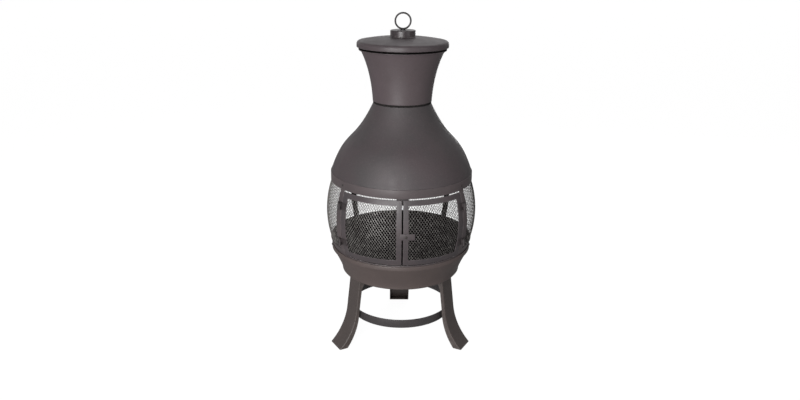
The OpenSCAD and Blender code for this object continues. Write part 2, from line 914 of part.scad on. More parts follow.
// Wire ring welded on a threaded stem that runs down through the drum and the lid
module lid_ring() {
  drum_top = lid_top(drum_r) + fit_gap + drum_h;
  mean_r = (ring_d - ring_wire_d) / 2;
  centre_z = drum_top + ring_d / 2 + 1;
  collar_h = 3;
  stem_end = lid_top(drum_r) - shell_t - nut_h - 5;
  color(iron)
    union() {
      translate([0, 0, centre_z]) rotate([90, 0, 0])
        rotate_extrude() translate([mean_r, 0]) circle(d = ring_wire_d, $fn = 32);
      translate([0, 0, drum_top]) cylinder(h = collar_h, r = 5, $fn = 48);
      translate([0, 0, stem_end]) cylinder(h = drum_top - stem_end + 0.5, r = bolt_r, $fn = 48);
    }
}

module lid_washer() {
  under = lid_top(drum_r) - shell_t;
  color(iron)
    translate([0, 0, under - washer_t])
      difference() {
        cylinder(h = washer_t - fit_gap, r = washer_r, $fn = 48);
        translate([0, 0, -1]) cylinder(h = washer_t + 2, r = bolt_r + bolt_clear, $fn = 32);
      }
}

module lid_nut() {
  under = lid_top(drum_r) - shell_t - washer_t - fit_gap;
  color(iron) translate([0, 0, under - nut_h]) hex_nut();
}

// Three bent strips under the lid: each stands on the collar's bead and drops inside it
module lid_feet() {
  seat_z = collar_z1 + collar_bead_r + fit_gap;
  riser_h = lid_top(lid_riser_r + 2 * lid_foot_t) - shell_t - lid_foot_slack - seat_z;
  color(dark_paint)
    for (az = [0, 120, 240]) {
      towards(az) translate([0, -lid_foot_w / 2, 0]) union() {
        translate([lid_locate_r, 0, seat_z]) cube([lid_foot_l, lid_foot_w, lid_foot_t]);
        translate([lid_locate_r, 0, seat_z - lid_foot_drop])
          cube([lid_foot_t, lid_foot_w, lid_foot_drop + 1]);
        translate([lid_riser_r, 0, seat_z]) cube([lid_foot_t, lid_foot_w, riser_h]);
      }
    }
}

fire_bowl();
lower_ring();
upper_ring();
front_post_left();
front_post_right();
rear_post_left();
rear_post_right();
side_mesh_left();
side_mesh_right();
rear_mesh();
hood();
flue_gasket();
flue_collar();
collar_screws();
hood_screws();
bowl_screws();
hinge_lugs_left();
hinge_lugs_right();
hinge_pins_left();
hinge_pins_right();
door_stop();
fire_grate();
leg_left();
leg_right();
leg_rear();
leg_bolts();
leg_nuts();
foot_ring();
foot_ring_bolts();
foot_ring_nuts();
foot_ring_spacers();
left_door_frame();
left_door_mesh();
left_door_eyes();
right_door_frame();
right_door_mesh();
right_door_eyes();
latch_stud();
turn_button();
lid_cover();
lid_drum();
lid_ring();
lid_washer();
lid_nut();
lid_feet();
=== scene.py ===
import math

import bmesh
import bpy
from mathutils import Matrix, Vector


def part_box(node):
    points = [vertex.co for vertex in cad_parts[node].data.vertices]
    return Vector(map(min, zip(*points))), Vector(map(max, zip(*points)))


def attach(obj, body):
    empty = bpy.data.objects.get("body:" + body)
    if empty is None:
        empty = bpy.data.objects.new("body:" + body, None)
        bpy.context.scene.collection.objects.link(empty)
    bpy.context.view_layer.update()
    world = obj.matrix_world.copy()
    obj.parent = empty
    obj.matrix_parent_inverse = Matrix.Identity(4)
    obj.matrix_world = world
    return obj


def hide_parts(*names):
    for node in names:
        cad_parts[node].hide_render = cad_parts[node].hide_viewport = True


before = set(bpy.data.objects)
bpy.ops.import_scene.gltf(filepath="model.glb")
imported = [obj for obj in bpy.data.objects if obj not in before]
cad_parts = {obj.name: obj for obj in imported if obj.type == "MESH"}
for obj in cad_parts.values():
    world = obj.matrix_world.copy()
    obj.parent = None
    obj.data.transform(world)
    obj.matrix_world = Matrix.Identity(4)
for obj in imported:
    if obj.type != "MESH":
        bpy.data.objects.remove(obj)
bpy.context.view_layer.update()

# Lengths in this script are millimetres until a mesh is made; the frame is in metres.
METRES = 0.001
SEGMENTS = 192


def box_mm(node):
    low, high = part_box(node)
    return low / METRES, high / METRES


# ---------- sizes, read from the frame ----------

lid_low, lid_high = box_mm("lid_cover")
drum_low, drum_high = box_mm("lid_drum")
wire_low, wire_high = box_mm("lid_ring")
collar_low, collar_high = box_mm("flue_collar")
hood_low, hood_high = box_mm("hood")
upper_low, upper_high = box_mm("upper_ring")
lower_low, lower_high = box_mm("lower_ring")
bowl_low, bowl_high = box_mm("fire_bowl")
mesh_low, mesh_high = box_mm("side_mesh_right")
door_low, door_high = box_mm("right_door_frame")
post_low, post_high = box_mm("front_post_right")
tie_low, tie_high = box_mm("foot_ring")
rear_leg_low, rear_leg_high = box_mm("leg_rear")

BULGE_R = mesh_high.x            # widest radius of the bulged firebox
BULGE_Z = 461.0
BULGE_ARC = 316.0                # radius of the arc that the bulge follows
BAND_T = 2.5                     # bands, posts and door frames
SHEET_T = 2.0                    # hood, collar, bowl and lid
HINGE_AZ = 50.4
LEG_AZ = (-61.0, 61.0, 180.0)
REAR_POST_AZ = 138.0
POST_ANGLE = 5.3


def bulge(z):
    return BULGE_R - BULGE_ARC + math.sqrt(BULGE_ARC ** 2 - (z - BULGE_Z) ** 2)


# ---------- outlines ----------


def bezier(points, n):
    """Points along a Bezier curve with any number of control points."""
    made = []
    for i in range(n + 1):
        row, t = [Vector(p) for p in points], i / n
        while len(row) > 1:
            row = [a.lerp(b, t) for a, b in zip(row, row[1:])]
        made.append(tuple(row[0]))
    return made


def arc(cx, cz, r, a0, a1, n):
    return [
        (cx + r * math.cos(math.radians(a0 + (a1 - a0) * i / n)),
         cz + r * math.sin(math.radians(a0 + (a1 - a0) * i / n)))
        for i in range(n + 1)
    ]


def shifted(points, dr, dz=0.0):
    return [(r + dr, z + dz) for r, z in points]


def rounded(points, radius, steps=3, limit=25.0):
    """The closed outline with every corner sharper than limit rounded off."""
    made, n = [], len(points)
    for i in range(n):
        before, at, after = (Vector(points[(i + k) % n]) for k in (-1, 0, 1))
        a, b = before - at, after - at
        if min(a.length, b.length) < 1e-6:
            continue
        turn = 180 - math.degrees(a.angle(b))
        if turn < limit or at.x < 1e-6:
            made.append(tuple(at))
            continue
        reach = min(radius * math.tan(math.radians(turn / 2)), a.length * 0.45, b.length * 0.45)
        start, end = at + a.normalized() * reach, at + b.normalized() * reach
        made += bezier([start, at, end], steps)
    return made


# ---------- meshes ----------


def finish_piece(name, bm, materials, body, replaces=(), slot=None, sharp=38.0, pick=None):
    """Turns a bmesh in millimetres into a piece of the object that rides on a body.

    pick says which material a face has, from its centre (in metres) and its normal.
    """
    bmesh.ops.remove_doubles(bm, verts=bm.verts, dist=1e-4)
    bmesh.ops.recalc_face_normals(bm, faces=bm.faces)
    bmesh.ops.scale(bm, vec=(METRES,) * 3, verts=bm.verts)
    bm.normal_update()
    wear_and_sheen = bm.verts.layers.float.new("wear_and_sheen")
    for edge in bm.edges:
        if len(edge.link_faces) == 2 and edge.calc_face_angle(0.0) > 0.3:
            for vert in edge.verts:
                vert[wear_and_sheen] = 1.0
    if pick:
        for face in bm.faces:
            face.material_index = pick(face.calc_center_median(), face.normal)
    mesh = bpy.data.meshes.new(name)
    bm.to_mesh(mesh)
    bm.free()
    for material in materials:
        mesh.materials.append(material)
    mesh.shade_smooth()
    mesh.set_sharp_from_angle(angle=math.radians(sharp))
    piece = bpy.data.objects.new(name, mesh)
    bpy.context.scene.collection.objects.link(piece)
    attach(piece, body)
    if replaces:
        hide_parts(*replaces)
    return piece


def place(r, az, z):
    """A point from its radius, azimuth and height: azimuth 0 is the front."""
    a = math.radians(az)
    return (r * math.sin(a), -r * math.cos(a), z)


def add_lathe(bm, outline, az0=0.0, az1=360.0, segments=SEGMENTS):
    """Turns a closed outline about the flue axis, all round or from az0 to az1."""
    whole = az1 - az0 >= 359.999
    steps = segments if whole else max(2, round(segments * (az1 - az0) / 360))
    rings = []
    for k in range(steps + (0 if whole else 1)):
        az = az0 + (az1 - az0) * k / steps
        rings.append([bm.verts.new(place(r, az, z)) for r, z in outline])
    n = len(outline)
    for k in range(steps):
        one, two = rings[k], rings[(k + 1) % len(rings)]
        for i in range(n):
            j = (i + 1) % n
            if outline[i][0] < 1e-6 and outline[j][0] < 1e-6:
                continue
            if outline[i][0] < 1e-6:
                bm.faces.new((one[i], one[j], two[j]))
            elif outline[j][0] < 1e-6:
                bm.faces.new((one[i], one[j], two[i]))
            else:
                bm.faces.new((one[i], one[j], two[j], two[i]))
    if not whole:
        bm.faces.new(rings[0])
        bm.faces.new(rings[-1][::-1])


def faces_axis(centre, normal):
    """1 on faces that look towards the flue axis, 0 on the outer ones; the inner faces take the near-black coat
    of sooting and painted shade.
    """
    return 1 if normal.x * centre.x + normal.y * centre.y < -0.25 * math.hypot(centre.x, centre.y) else 0


def lathe(name, outline, materials, body, az0=0.0, az1=360.0, edge=0.4, **kept):
    bm = bmesh.new()
    add_lathe(bm, rounded(outline, edge) if edge else outline, az0, az1)
    return finish_piece(name, bm, materials, body, **kept)


def add_tube(bm, points, r, sides=16, closed=False):
    """A round bar along a path, with domed ends."""
    path = [Vector(p) for p in points]
    n = len(path)
    normal, rings = None, []
    for i, at in enumerate(path):
        if closed:
            along = (path[(i + 1) % n] - path[i - 1]).normalized()
        else:
            along = (path[min(i + 1, n - 1)] - path[max(i - 1, 0)]).normalized()
        if normal is None:
            normal = along.orthogonal().normalized()
        normal = (normal - along * normal.dot(along)).normalized()
        side = along.cross(normal)
        rings.append((at, along, normal, side))

    def ring(at, normal, side, radius):
        return [
            bm.verts.new(at + radius * (math.cos(a) * normal + math.sin(a) * side))
            for a in (2 * math.pi * k / sides for k in range(sides))
        ]

    loops = []
    if not closed:
        at, along, normal, side = rings[0]
        loops.append(ring(at - along * r * 0.5, normal, side, r * 0.6))
    loops += [ring(at, normal, side, r) for at, along, normal, side in rings]
    if not closed:
        at, along, normal, side = rings[-1]
        loops.append(ring(at + along * r * 0.5, normal, side, r * 0.6))
    pairs = list(zip(loops, loops[1:])) + ([(loops[-1], loops[0])] if closed else [])
    for one, two in pairs:
        for k in range(sides):
            bm.faces.new((one[k], one[(k + 1) % sides], two[(k + 1) % sides], two[k]))
    if not closed:
        bm.faces.new(loops[0][::-1])
        bm.faces.new(loops[-1])


def add_bevelled_box(bm, corner, size, place_point, edge=0.6):
    """A plate or bar with rounded edges; place_point puts each of its points."""
    part = bmesh.new()
    bmesh.ops.create_cube(part, size=1.0)
    for vert in part.verts:
        vert.co = Vector([corner[k] + (vert.co[k] + 0.5) * size[k] for k in range(3)])
    bmesh.ops.bevel(part, geom=part.edges[:], offset=min(edge, min(size) * 0.45), segments=3,
                    profile=0.5, affect="EDGES")
    copies = {vert: bm.verts.new(place_point(vert.co)) for vert in part.verts}
    for face in part.faces:
        bm.faces.new([copies[vert] for vert in face.verts])
    part.free()


def add_panel(bm, azimuths, heights, solid, d_in, d_out):
    """A curved sheet on the bulge, in cells; solid says which cells are there."""
    cells = {(i, j) for i in range(len(azimuths) - 1) for j in range(len(heights) - 1) if solid(i, j)}
    verts = {}

    def vert(i, j, layer):
        if (i, j, layer) not in verts:
            d = d_out if layer else d_in
            verts[(i, j, layer)] = bm.verts.new(place(bulge(heights[j]) + d, azimuths[i], heights[j]))
        return verts[(i, j, layer)]

    for i, j in cells:
        for layer in (0, 1):
            bm.faces.new([vert(*p, layer) for p in ((i, j), (i + 1, j), (i + 1, j + 1), (i, j + 1))])
        for next_cell, a, b in (
            ((i - 1, j), (i, j), (i, j + 1)),
            ((i + 1, j), (i + 1, j), (i + 1, j + 1)),
            ((i, j - 1), (i, j), (i + 1, j)),
            ((i, j + 1), (i, j + 1), (i + 1, j + 1)),
        ):
            if next_cell not in cells:
                bm.faces.new([vert(*a, 0), vert(*b, 0), vert(*b, 1), vert(*a, 1)])


def steps_between(*marks, step):
    """Marks joined by even steps no longer than step."""
    made = [marks[0]]
    for a, b in zip(marks, marks[1:]):
        n = max(1, math.ceil((b - a) / step))
        made += [a + (b - a) * k / n for k in range(1, n + 1)]
    return made


def round_edges(piece, width, segments=3):
    """Rounds a piece's sharp edges and keeps its flat faces flat in the shading."""
    bevel = piece.modifiers.new("edge", "BEVEL")
    bevel.width = width * METRES
    bevel.segments = segments
    bevel.limit_method = "ANGLE"
    bevel.angle_limit = math.radians(40)
    weighted = piece.modifiers.new("shading", "WEIGHTED_NORMAL")
    weighted.keep_sharp = False
    piece.data.set_sharp_from_angle(angle=math.pi)


# ---------- materials ----------


def noise(tree, coord, scale, detail=3.0, rough=0.55):
    made = tree.nodes.new("ShaderNodeTexNoise")
    made.inputs["Scale"].default_value = scale
    made.inputs["Detail"].default_value = detail
    made.inputs["Roughness"].default_value = rough
    tree.links.new(coord, made.inputs["Vector"])
    return made.outputs["Fac"]


def ranged(tree, value, low, high, to_low, to_high):
    made = tree.nodes.new("ShaderNodeMapRange")
    for key, number in zip(("From Min", "From Max", "To Min", "To Max"), (low, high, to_low, to_high)):
        made.inputs[key].default_value = number
    tree.links.new(value, made.inputs["Value"])
    return made.outputs["Result"]


def mixed(tree, factor, a, b):
    made = tree.nodes.new("ShaderNodeMix")
    made.data_type = "RGBA"
    for socket, value in ((made.inputs["Factor"], factor), (made.inputs["A"], a), (made.inputs["B"], b)):
        if isinstance(value, (tuple, float)):
            socket.default_value = (*value, 1.0) if isinstance(value, tuple) else value
        else:
            tree.links.new(value, socket)
    return made.outputs["Result"]


def product(tree, a, b):
    made = tree.nodes.new("ShaderNodeMath")
    made.operation = "MULTIPLY"
    for socket, value in zip(made.inputs, (a, b)):
        if isinstance(value, float):
            socket.default_value = value
        else:
            tree.links.new(value, socket)
    return made.outputs["Value"]


def coated(name, base, shade, worn_and_highlight, rough=0.5, metal=0.0, grain=0.12, wear_and_sheen=0.5, specular=0.5, cloud=9.0):
    """Sprayed coat: cloudy tone, fine texture, uneven gloss and rubbed edges; where every vertex of a piece is
    marked, the pale rubbed tone is painted highlight.
    """
    material = bpy.data.materials.new(name)
    material.use_nodes = True
    tree = material.node_tree
    shader = tree.nodes["Principled BSDF"]
    coord = tree.nodes.new("ShaderNodeTexCoord").outputs["Object"]
    clouds = ranged(tree, noise(tree, coord, cloud, 4.0), 0.32, 0.68, 0.0, 1.0)
    specks = ranged(tree, noise(tree, coord, 520.0, 2.0), 0.56, 0.74, 0.0, 0.55)
    colour = mixed(tree, clouds, shade, base)
    colour = mixed(tree, specks, colour, worn_and_highlight)
    attribute = tree.nodes.new("ShaderNodeAttribute")
    attribute.attribute_name = "wear_and_sheen"
    rub_and_sheen = ranged(tree, noise(tree, coord, 70.0, 5.0, 0.7), 0.45, 0.62, 0.0, wear_and_sheen)
    edge = product(tree, attribute.outputs["Fac"], rub_and_sheen)
    colour = mixed(tree, edge, colour, worn_and_highlight)
    tree.links.new(colour, shader.inputs["Base Color"])
    gloss = ranged(tree, noise(tree, coord, 26.0, 3.0), 0.3, 0.7, rough - 0.05, rough + 0.07)
    tree.links.new(gloss, shader.inputs["Roughness"])
    shader.inputs["Metallic"].default_value = metal
    shader.inputs["Specular IOR Level"].default_value = specular
    bump = tree.nodes.new("ShaderNodeBump")
    bump.inputs["Strength"].default_value = grain
    bump.inputs["Distance"].default_value = 0.0006
    tree.links.new(noise(tree, coord, 900.0, 2.0), bump.inputs["Height"])
    tree.links.new(bump.outputs["Normal"], shader.inputs["Normal"])
    return material


flue_coat = coated("flue coat", (0.080, 0.061, 0.067), (0.068, 0.053, 0.056), (0.12, 0.10, 0.10), rough=0.47)
lid_coat = coated("lid coat", (0.060, 0.047, 0.051), (0.050, 0.040, 0.043), (0.13, 0.11, 0.11),
                  rough=0.46, cloud=14.0)
knob_coat = coated("knob coat", (0.040, 0.031, 0.035), (0.030, 0.024, 0.026), (0.14, 0.12, 0.12), rough=0.34)
hood_coat = coated("hood coat", (0.060, 0.046, 0.050), (0.046, 0.043, 0.044), (0.12, 0.10, 0.10),
                   rough=0.56, cloud=5.0)
bowl_coat = coated("bowl coat", (0.087, 0.066, 0.062), (0.072, 0.055, 0.052), (0.12, 0.10, 0.09), rough=0.50)
frame_coat = coated("frame coat", (0.082, 0.065, 0.067), (0.060, 0.049, 0.051), (0.14, 0.12, 0.12),
                    rough=0.46)
door_coat = coated("door coat", (0.064, 0.051, 0.054), (0.046, 0.040, 0.043), (0.14, 0.12, 0.12), rough=0.45)
hinge_coat = coated("hinge coat", (0.044, 0.036, 0.037), (0.030, 0.025, 0.026), (0.12, 0.10, 0.10),
                    rough=0.46)
tie_coat = coated("foot ring coat", (0.046, 0.041, 0.042), (0.034, 0.031, 0.032), (0.13, 0.11, 0.11),
                  rough=0.44)
leg_coat = coated("leg coat", (0.068, 0.054, 0.050), (0.053, 0.042, 0.039), (0.16, 0.14, 0.13), rough=0.46)
# Lighter than the frame paint, with a pale tone on its rubbed strands: real rubbing, and painted highlight on the
# expanded mesh.
mesh_worn_and_highlight_coat = coated("mesh coat, worn and painted highlight", (0.105, 0.097, 0.093), (0.068, 0.061, 0.059), (0.26, 0.248, 0.235),
                   rough=0.36, metal=0.2, wear_and_sheen=0.8)
ring_coat = coated("ring coat", (0.012, 0.010, 0.010), (0.007, 0.006, 0.006), (0.06, 0.05, 0.05),
                   rough=0.34, metal=0.2)
bolt_coat = coated("fastener coat", (0.045, 0.038, 0.037), (0.030, 0.026, 0.025), (0.16, 0.15, 0.14),
                   rough=0.40, metal=0.3)
# Near-black iron for the grate; its darkness is partly painted shade inside the bowl.
grate_iron_and_shade_coat = coated("grate iron and painted shade", (0.008, 0.007, 0.007), (0.005, 0.0045, 0.0045), (0.022, 0.016, 0.013),
                    rough=0.72, metal=0.1, grain=0.4, specular=0.2)
# Near-black fibre for the flue seal; its darkness is the painted shadow line under the collar's foot.
seal_fibre_shadow_line = coated("seal fibre, painted shadow line", (0.016, 0.014, 0.013), (0.009, 0.008, 0.008), (0.030, 0.028, 0.026),
                    rough=0.9, grain=0.6, specular=0.2)
# Near-black coat for inner faces, the bowl's floor, the lid's underside, the lid feet and the collar's bead top:
# sooting, and painted shade of the dark inside and of the gap under the lid.
soot_and_shade = coated("soot and painted shade inside", (0.0065, 0.0058, 0.0055), (0.0040, 0.0036, 0.0035), (0.014, 0.012, 0.011),
              rough=0.88, grain=0.5, wear_and_sheen=0.2, specular=0.12)

# ---------- lid ----------

lid_r, lid_z = lid_high.x, lid_low.z
drum_r = drum_high.x
LID_RIM_H = 18.0
LID_ROLL = 10.0                  # round of the lid's top edge
LID_HEM = 1.9                    # radius of the folded lower edge
LID_SOOT_AND_SHADE_R = 0.140               # metres from the axis that smoke reaches under the lid; inside it the underside takes the near-black coat, which is also painted shade
CROWN_STEPS = 24


def lid_top(r):
    rise = lid_high.z - lid_z - LID_RIM_H
    return lid_z + LID_RIM_H + rise * (1 - max(0.0, (r - drum_r) / (lid_r - drum_r)) ** 1.6)


crown_radii = [drum_r + (lid_r - LID_ROLL - drum_r) * i / CROWN_STEPS for i in range(CROWN_STEPS + 1)]
crown = [(r, lid_top(r)) for r in crown_radii]
lid_shell = (
    [(0.0, lid_high.z), (drum_r - 6, lid_high.z)] + crown
    + arc(lid_r - LID_ROLL, lid_top(lid_r - LID_ROLL) - LID_ROLL, LID_ROLL, 70, 0, 6)
    + arc(lid_r - LID_HEM, lid_z + LID_HEM, LID_HEM, 0, -180, 8)
    + [(lid_r - 2 * LID_HEM, lid_z + LID_RIM_H - LID_ROLL - 1)]
    + [(r - 0.6, z - SHEET_T) for r, z in reversed(crown)]
    + [(0.0, lid_high.z - SHEET_T)]
)
# The lid's underside near the axis takes the near-black coat of sooting and painted shade.
lathe("lid_shell", lid_shell, [lid_coat, soot_and_shade], "lid", edge=0, replaces=["lid_cover"], slot="flue_paint",
      pick=lambda c, n: 1 if n.z < -0.5 and math.hypot(c.x, c.y) < LID_SOOT_AND_SHADE_R else 0)

drum_base, drum_top = drum_low.z, drum_high.z
drum = (
    [(drum_r + 0.9, drum_base - 0.1), (drum_r + 0.9, drum_base + 0.7), (drum_r, drum_base + 1.6)]
    + arc(drum_r - 2.5, drum_top - 2.5, 2.5, 0, 90, 7)
    + [(14.0, drum_top + 0.0), (0.0, drum_top)]
    + [(0.0, drum_top - SHEET_T), (drum_r - 4, drum_top - SHEET_T), (drum_r - SHEET_T, drum_top - 4)]
    + [(drum_r - SHEET_T, drum_base - 0.1)]
)
lathe("lid_knob_drum", drum, [knob_coat, soot_and_shade], "lid", edge=0, replaces=["lid_drum"], slot="flue_paint",
      pick=faces_axis)

bm = bmesh.new()
wire_r, stem_r = 2.75, 3.0
ring_mean = wire_high.x - wire_r
ring_z = wire_high.z - wire_high.x
add_tube(bm, [(ring_mean * math.cos(a), 0, ring_z + ring_mean * math.sin(a))
              for a in (2 * math.pi * k / 96 for k in range(96))], wire_r, 20, closed=True)
add_lathe(bm, rounded([(0, drum_top - 1), (8.5, drum_top - 1), (8.5, drum_top + 1.2), (5.2, drum_top + 2.2),
                       (4.2, drum_top + 3.6), (0, drum_top + 3.6)], 0.5), segments=48)
add_tube(bm, [(0, 0, drum_top - 28), (0, 0, drum_top + 0.5)], stem_r, 20)
finish_piece("lid_pull_ring", bm, [ring_coat], "lid", replaces=["lid_ring"], slot="ring_wire")

# ---------- flue collar ----------

COLLAR_FOOT_R, BEAD_R = 95.5, 3.4
FLARE_PULL = (101.5, 927.0)      # the point that bends the flare
collar_r1 = collar_high.x - 2 * BEAD_R + SHEET_T
bead_z = collar_high.z - BEAD_R
flare = bezier([(COLLAR_FOOT_R, collar_low.z), FLARE_PULL, (collar_r1, bead_z)], 40)
bead = arc(collar_r1 + BEAD_R - SHEET_T, bead_z, BEAD_R, -118, 180, 22)
collar = [(COLLAR_FOOT_R - SHEET_T - 0.6, collar_low.z)] + flare[:-1] + bead + shifted(flare, -SHEET_T)[::-1]
# Inner faces and all faces above the bead's centre take the near-black coat of sooting and painted shade: the
# dark bead top is a painted shadow under the lid.
lathe("collar_flare", rounded(collar, 0.5, limit=60), [flue_coat, soot_and_shade], "firebox", edge=0,
      replaces=["flue_collar"], slot="flue_paint",
      pick=lambda c, n: 1 if faces_axis(c, n) or c.z > bead_z * METRES else 0)

# ---------- hood ----------

hood_skirt_r, neck_r, hood_r = 230.4, 92.2, hood_high.x
bell = bezier([(hood_r, upper_high.z + 0.1), (187.0, 732.0), (160.0, 682.0), (neck_r, 826.0)], 64)
hood_out = [(hood_skirt_r, hood_low.z), (hood_skirt_r, upper_high.z + 0.1)] + bell + [(neck_r, hood_high.z)]
hood_in = [(hood_skirt_r - SHEET_T, hood_low.z), (hood_skirt_r - SHEET_T, upper_high.z + 2.1)]
hood_in += [(r - SHEET_T, z) for r, z in bell if z > upper_high.z + 6.1] + [(neck_r - SHEET_T, hood_high.z)]
lathe("hood_bell", hood_out + hood_in[::-1], [hood_coat, soot_and_shade], "firebox", edge=0.5, replaces=["hood"],
      slot="hood_paint", pick=faces_axis)

# A near-black fibre seal between the neck and the collar's foot; its darkness is the painted shadow line under
# the collar's edge.
gasket_low, gasket_high = box_mm("flue_gasket")
gasket = [(neck_r + 0.1, gasket_low.z), (gasket_high.x, gasket_low.z), (gasket_high.x, gasket_high.z),
          (neck_r + 0.1, gasket_high.z)]
lathe("flue_seal_shadow_line", gasket, [seal_fibre_shadow_line], "firebox", edge=0.9, replaces=["flue_gasket"], slot="seal")

# ---------- firebox frame ----------

rim_r = upper_high.x
lathe("upper_hoop", [(rim_r - BAND_T, upper_low.z), (rim_r, upper_low.z), (rim_r, upper_high.z),
                     (rim_r - BAND_T, upper_high.z)], [frame_coat, soot_and_shade], "firebox", edge=0.9,
      replaces=["upper_ring"], slot="frame_paint", pick=faces_axis)

bm = bmesh.new()
SKIRT_R, SKIRT_TOP, BAND_FOOT = 231.2, 346.0, 345.0
skirt = [(SKIRT_R - BAND_T, lower_low.z), (SKIRT_R, lower_low.z), (SKIRT_R, SKIRT_TOP),
         (SKIRT_R - BAND_T, SKIRT_TOP)]
add_lathe(bm, rounded(skirt, 0.5))
band_heights = steps_between(BAND_FOOT, lower_high.z, step=4)
band = [(bulge(z) + BAND_T, z) for z in band_heights] + [(bulge(z), z) for z in band_heights][::-1]
add_lathe(bm, rounded(band, 0.9), HINGE_AZ + 0.2, 360 - HINGE_AZ - 0.2)
finish_piece("lower_hoop", bm, [frame_coat, soot_and_shade], "firebox", replaces=["lower_ring"], slot="frame_paint",
             pick=faces_axis)

post_z0, post_z1 = post_low.z, post_high.z


def post(name, az0, stands_for):
    bm = bmesh.new()
    heights = steps_between(post_z0, post_z1, step=4)
    add_panel(bm, steps_between(az0, az0 + POST_ANGLE, step=0.9), heights, lambda i, j: True, 0, BAND_T)
    piece = finish_piece(name, bm, [frame_coat, soot_and_shade], "firebox", replaces=[stands_for], slot="frame_paint",
                         pick=faces_axis)
    round_edges(piece, 0.9)


post("front_upright_right", HINGE_AZ + 0.2, "front_post_right")
post("front_upright_left", -HINGE_AZ - 0.2 - POST_ANGLE, "front_post_left")
post("rear_upright_right", REAR_POST_AZ - POST_ANGLE / 2, "rear_post_right")
post("rear_upright_left", -REAR_POST_AZ - POST_ANGLE / 2, "rear_post_left")

# ---------- expanded mesh ----------

MESH_WIDE = 9.6                  # across a diamond
MESH_TALL = 13.4                 # up a diamond
BOND_A, BOND_B = 0.54, 1.14      # half sizes of a bond between four strands
MESH_THICK = 0.60
MESH_TWIST = 0.28                # strands stand proud on one side of a bond and back on the other
MESH_GAP = 0.25


def expanded(name, az0, az1, z0, z1, body, stands_for, z_turn=569.0):
    pitch = math.degrees(MESH_WIDE / BULGE_R)
    rows = int((z1 - z0) / (MESH_TALL / 2))
    columns = int((az1 - az0) / pitch) + 1
    start = (az0 + az1) / 2 - columns * pitch / 2
    index, verts, faces = {}, [], []
    for j in range(rows + 1):
        for i in range(-1, columns + 2):
            az = start + (i + (0.5 if j % 2 else 0.0)) * pitch
            z = z0 + 1.0 + j * MESH_TALL / 2
            if az0 + 0.1 <= az <= az1 - 0.1 and z <= z1 - 1.0:
                index[(i, j)] = len(verts) // 8
                for layer in (0, 1):
                    for dx, dz, out in ((-BOND_A, 0, MESH_TWIST), (0, -BOND_B, 0), (BOND_A, 0, -MESH_TWIST),
                                        (0, BOND_B, 0)):
                        height = z + dz
                        r = bulge(min(height, z_turn)) - MESH_GAP - MESH_TWIST + out - layer * MESH_THICK
                        verts.append(place(r, az + math.degrees(dx / BULGE_R), height))
    L, B, R, T = 0, 1, 2, 3

    def v(bond, corner, layer):
        return index[bond] * 8 + layer * 4 + corner

    for (i, j) in index:
        here = (i, j)
        faces.append([v(here, k, 0) for k in (L, B, R, T)])
        faces.append([v(here, k, 1) for k in (T, R, B, L)])
        odd = j % 2
        for corner_a, corner_b, there in (
            (T, R, (i + odd, j + 1)), (L, T, (i - 1 + odd, j + 1)),
            (R, B, (i + odd, j - 1)), (B, L, (i - 1 + odd, j - 1)),
        ):
            if there not in index:
                faces.append([v(here, corner_a, 0), v(here, corner_a, 1),
                              v(here, corner_b, 1), v(here, corner_b, 0)])
        for (a, b), (c, d), there in (
            ((T, R), (L, B), (i + odd, j + 1)), ((L, T), (B, R), (i - 1 + odd, j + 1)),
        ):
            if there in index:
                faces.append([v(here, a, 0), v(here, b, 0), v(there, d, 0), v(there, c, 0)])
                faces.append([v(here, a, 1), v(there, c, 1), v(there, d, 1), v(here, b, 1)])
                faces.append([v(here, a, 0), v(there, c, 0), v(there, c, 1), v(here, a, 1)])
                faces.append([v(here, b, 0), v(here, b, 1), v(there, d, 1), v(there, d, 0)])
    mesh = bpy.data.meshes.new(name)
    mesh.from_pydata([tuple(METRES * c for c in p) for p in verts], [], faces)
    mesh.validate()
    bm = bmesh.new()
    bm.from_mesh(mesh)
    bmesh.ops.recalc_face_normals(bm, faces=bm.faces)
    # Every vertex is marked, so the pale rubbed tone lies over all strands: painted highlight as well as rubbing.
    layer = bm.verts.layers.float.new("wear_and_sheen")
    for vert in bm.verts:
        vert[layer] = 1.0
    bm.normal_update()
    for face in bm.faces:
        face.material_index = faces_axis(face.calc_center_median(), face.normal)
    bm.to_mesh(mesh)
    bm.free()
    mesh.materials.append(mesh_worn_and_highlight_coat)
    mesh.materials.append(soot_and_shade)
    piece = bpy.data.objects.new(name, mesh)
    bpy.context.scene.collection.objects.link(piece)
    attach(piece, body)
    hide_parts(stands_for)


SIDE_AZ0, SIDE_AZ1 = HINGE_AZ + 0.8, REAR_POST_AZ - 0.5
expanded("side_expanded_right", SIDE_AZ0, SIDE_AZ1, mesh_low.z, mesh_high.z, "firebox", "side_mesh_right")
expanded("side_expanded_left", -SIDE_AZ1, -SIDE_AZ0, mesh_low.z, mesh_high.z, "firebox", "side_mesh_left")
expanded("rear_expanded", REAR_POST_AZ + 0.5, 360 - REAR_POST_AZ - 0.5, mesh_low.z, mesh_high.z, "firebox",
         "rear_mesh")

# ---------- doors ----------

HALF_DOOR_GAP, STILE_W = 2.3, 17.0
DOOR_GAP_AZ = math.degrees(math.asin(HALF_DOOR_GAP / BULGE_R))
DOOR_AZ = HINGE_AZ - 0.2
MEETING_STILE = math.degrees(math.asin(STILE_W / BULGE_R))
HINGE_STILE = 5.0
BOTTOM_RAIL, TOP_RAIL = 20.5, 16.5
door_mesh_low, door_mesh_high = box_mm("right_door_mesh")


